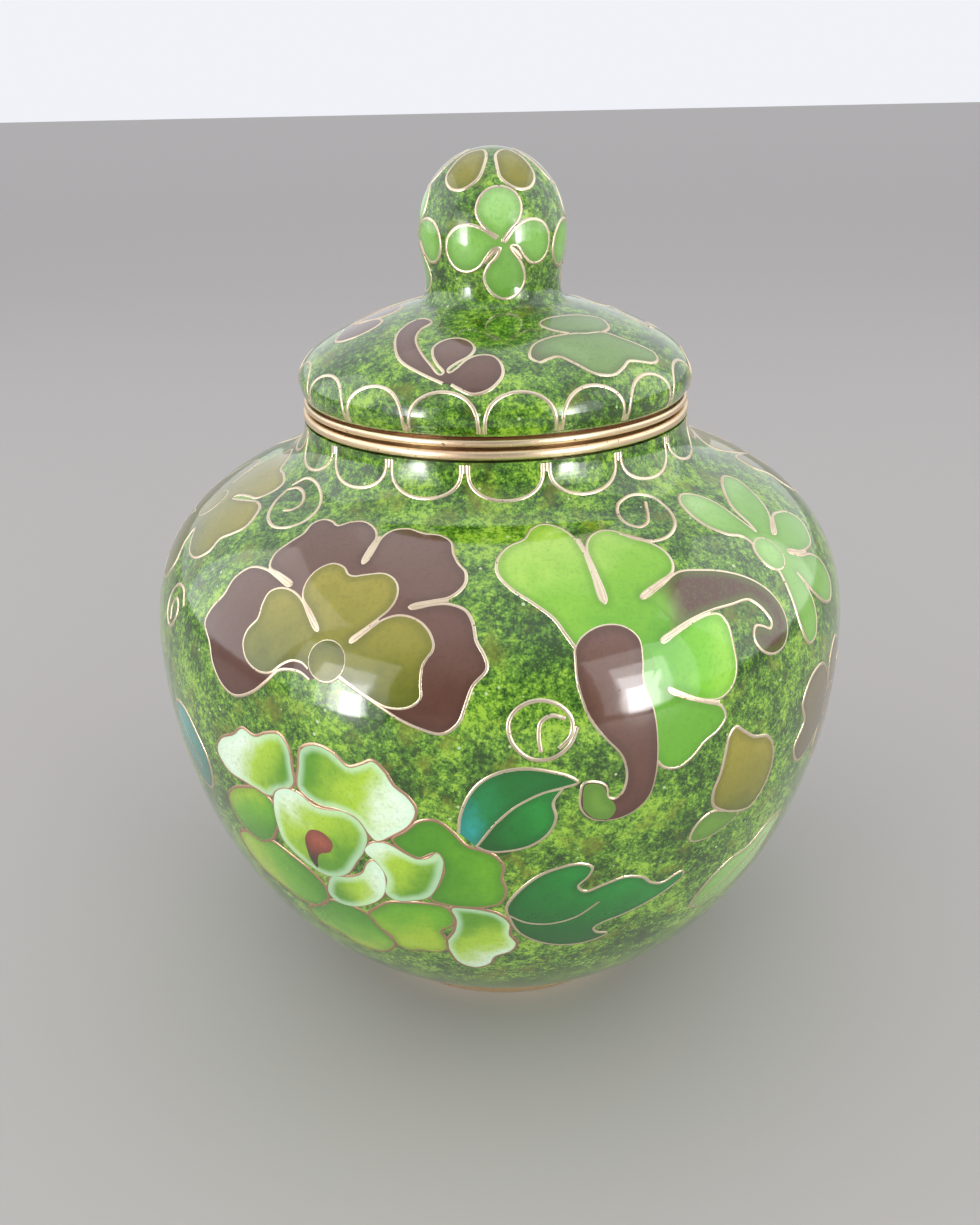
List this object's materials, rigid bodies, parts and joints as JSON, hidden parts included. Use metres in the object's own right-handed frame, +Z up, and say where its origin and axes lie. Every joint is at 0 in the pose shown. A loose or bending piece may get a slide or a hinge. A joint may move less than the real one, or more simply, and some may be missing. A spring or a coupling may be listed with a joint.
{
  "type": "lidded cloisonne ginger jar",
  "caption": "Lidded ginger jar of enamelled copper: round belly, gilt foot and mouth rings, domed lid with a knob, flowers in wire cells on mottled green.",
  "frame": {"origin": "on the jar's axis, at the plane that the foot ring stands on", "axes": "+Z up along the jar's axis, -Y towards the front with the pansy and the orchid"},
  "size_m": [0.0836, 0.0846, 0.1006],
  "materials": {
    "copper": "spun, bare, dull",
    "gilt_ring": "pinkish gold plate, satin polish",
    "gilt_wire": "pale gold plate, ground flush and polished",
    "green_enamel": "glossy fired enamel, opaque, mottled green with coloured petals",
    "turquoise_enamel": "glossy counter-enamel, opaque"
  },
  "bodies": {
    "jar": {"base_enamel": "turquoise_enamel", "bud_leaf_wire_back": "gilt_wire", "bud_leaf_wire_front": "gilt_wire", "foot_ring": "gilt_ring", "jar_enamel": "green_enamel", "jar_lining": "turquoise_enamel", "jar_scallop_wire": "gilt_wire", "jar_shell_lower": "copper", "jar_shell_upper": "copper", "lower_leaf_wire_back": "gilt_wire", "lower_leaf_wire_front": "gilt_wire", "mouth_ring": "gilt_ring", "neck_spiral_wire_back": "gilt_wire", "neck_spiral_wire_front": "gilt_wire", "olive_flower_wire_back": "gilt_wire", "olive_flower_wire_front": "gilt_wire", "orchid_wire_back": "gilt_wire", "orchid_wire_front": "gilt_wire", "pansy_wire_back": "gilt_wire", "pansy_wire_front": "gilt_wire", "peony_wire_back": "gilt_wire", "peony_wire_front": "gilt_wire", "side_spiral_wire_back": "gilt_wire", "side_spiral_wire_front": "gilt_wire", "star_flower_wire_back": "gilt_wire", "star_flower_wire_front": "gilt_wire", "upper_leaf_wire_back": "gilt_wire", "upper_leaf_wire_front": "gilt_wire"},
    "lid": {"knob_clover_wire_back": "gilt_wire", "knob_clover_wire_front": "gilt_wire", "knob_clover_wire_left": "gilt_wire", "knob_clover_wire_right": "gilt_wire", "knob_crown_wire": "gilt_wire", "knob_shell": "copper", "lid_blossom_wire_back": "gilt_wire", "lid_blossom_wire_front": "gilt_wire", "lid_enamel": "green_enamel", "lid_flange": "gilt_ring", "lid_leaf_wire_back": "gilt_wire", "lid_leaf_wire_front": "gilt_wire", "lid_lining": "turquoise_enamel", "lid_ring": "gilt_ring", "lid_scallop_wire": "gilt_wire", "lid_shell": "copper"}
  },
  "joints": [
    {"name": "lid_lift", "type": "slide", "parent": "jar", "child": "lid", "axis": [0, 0, 1], "range_m": [0, 0.05]}
  ]
}
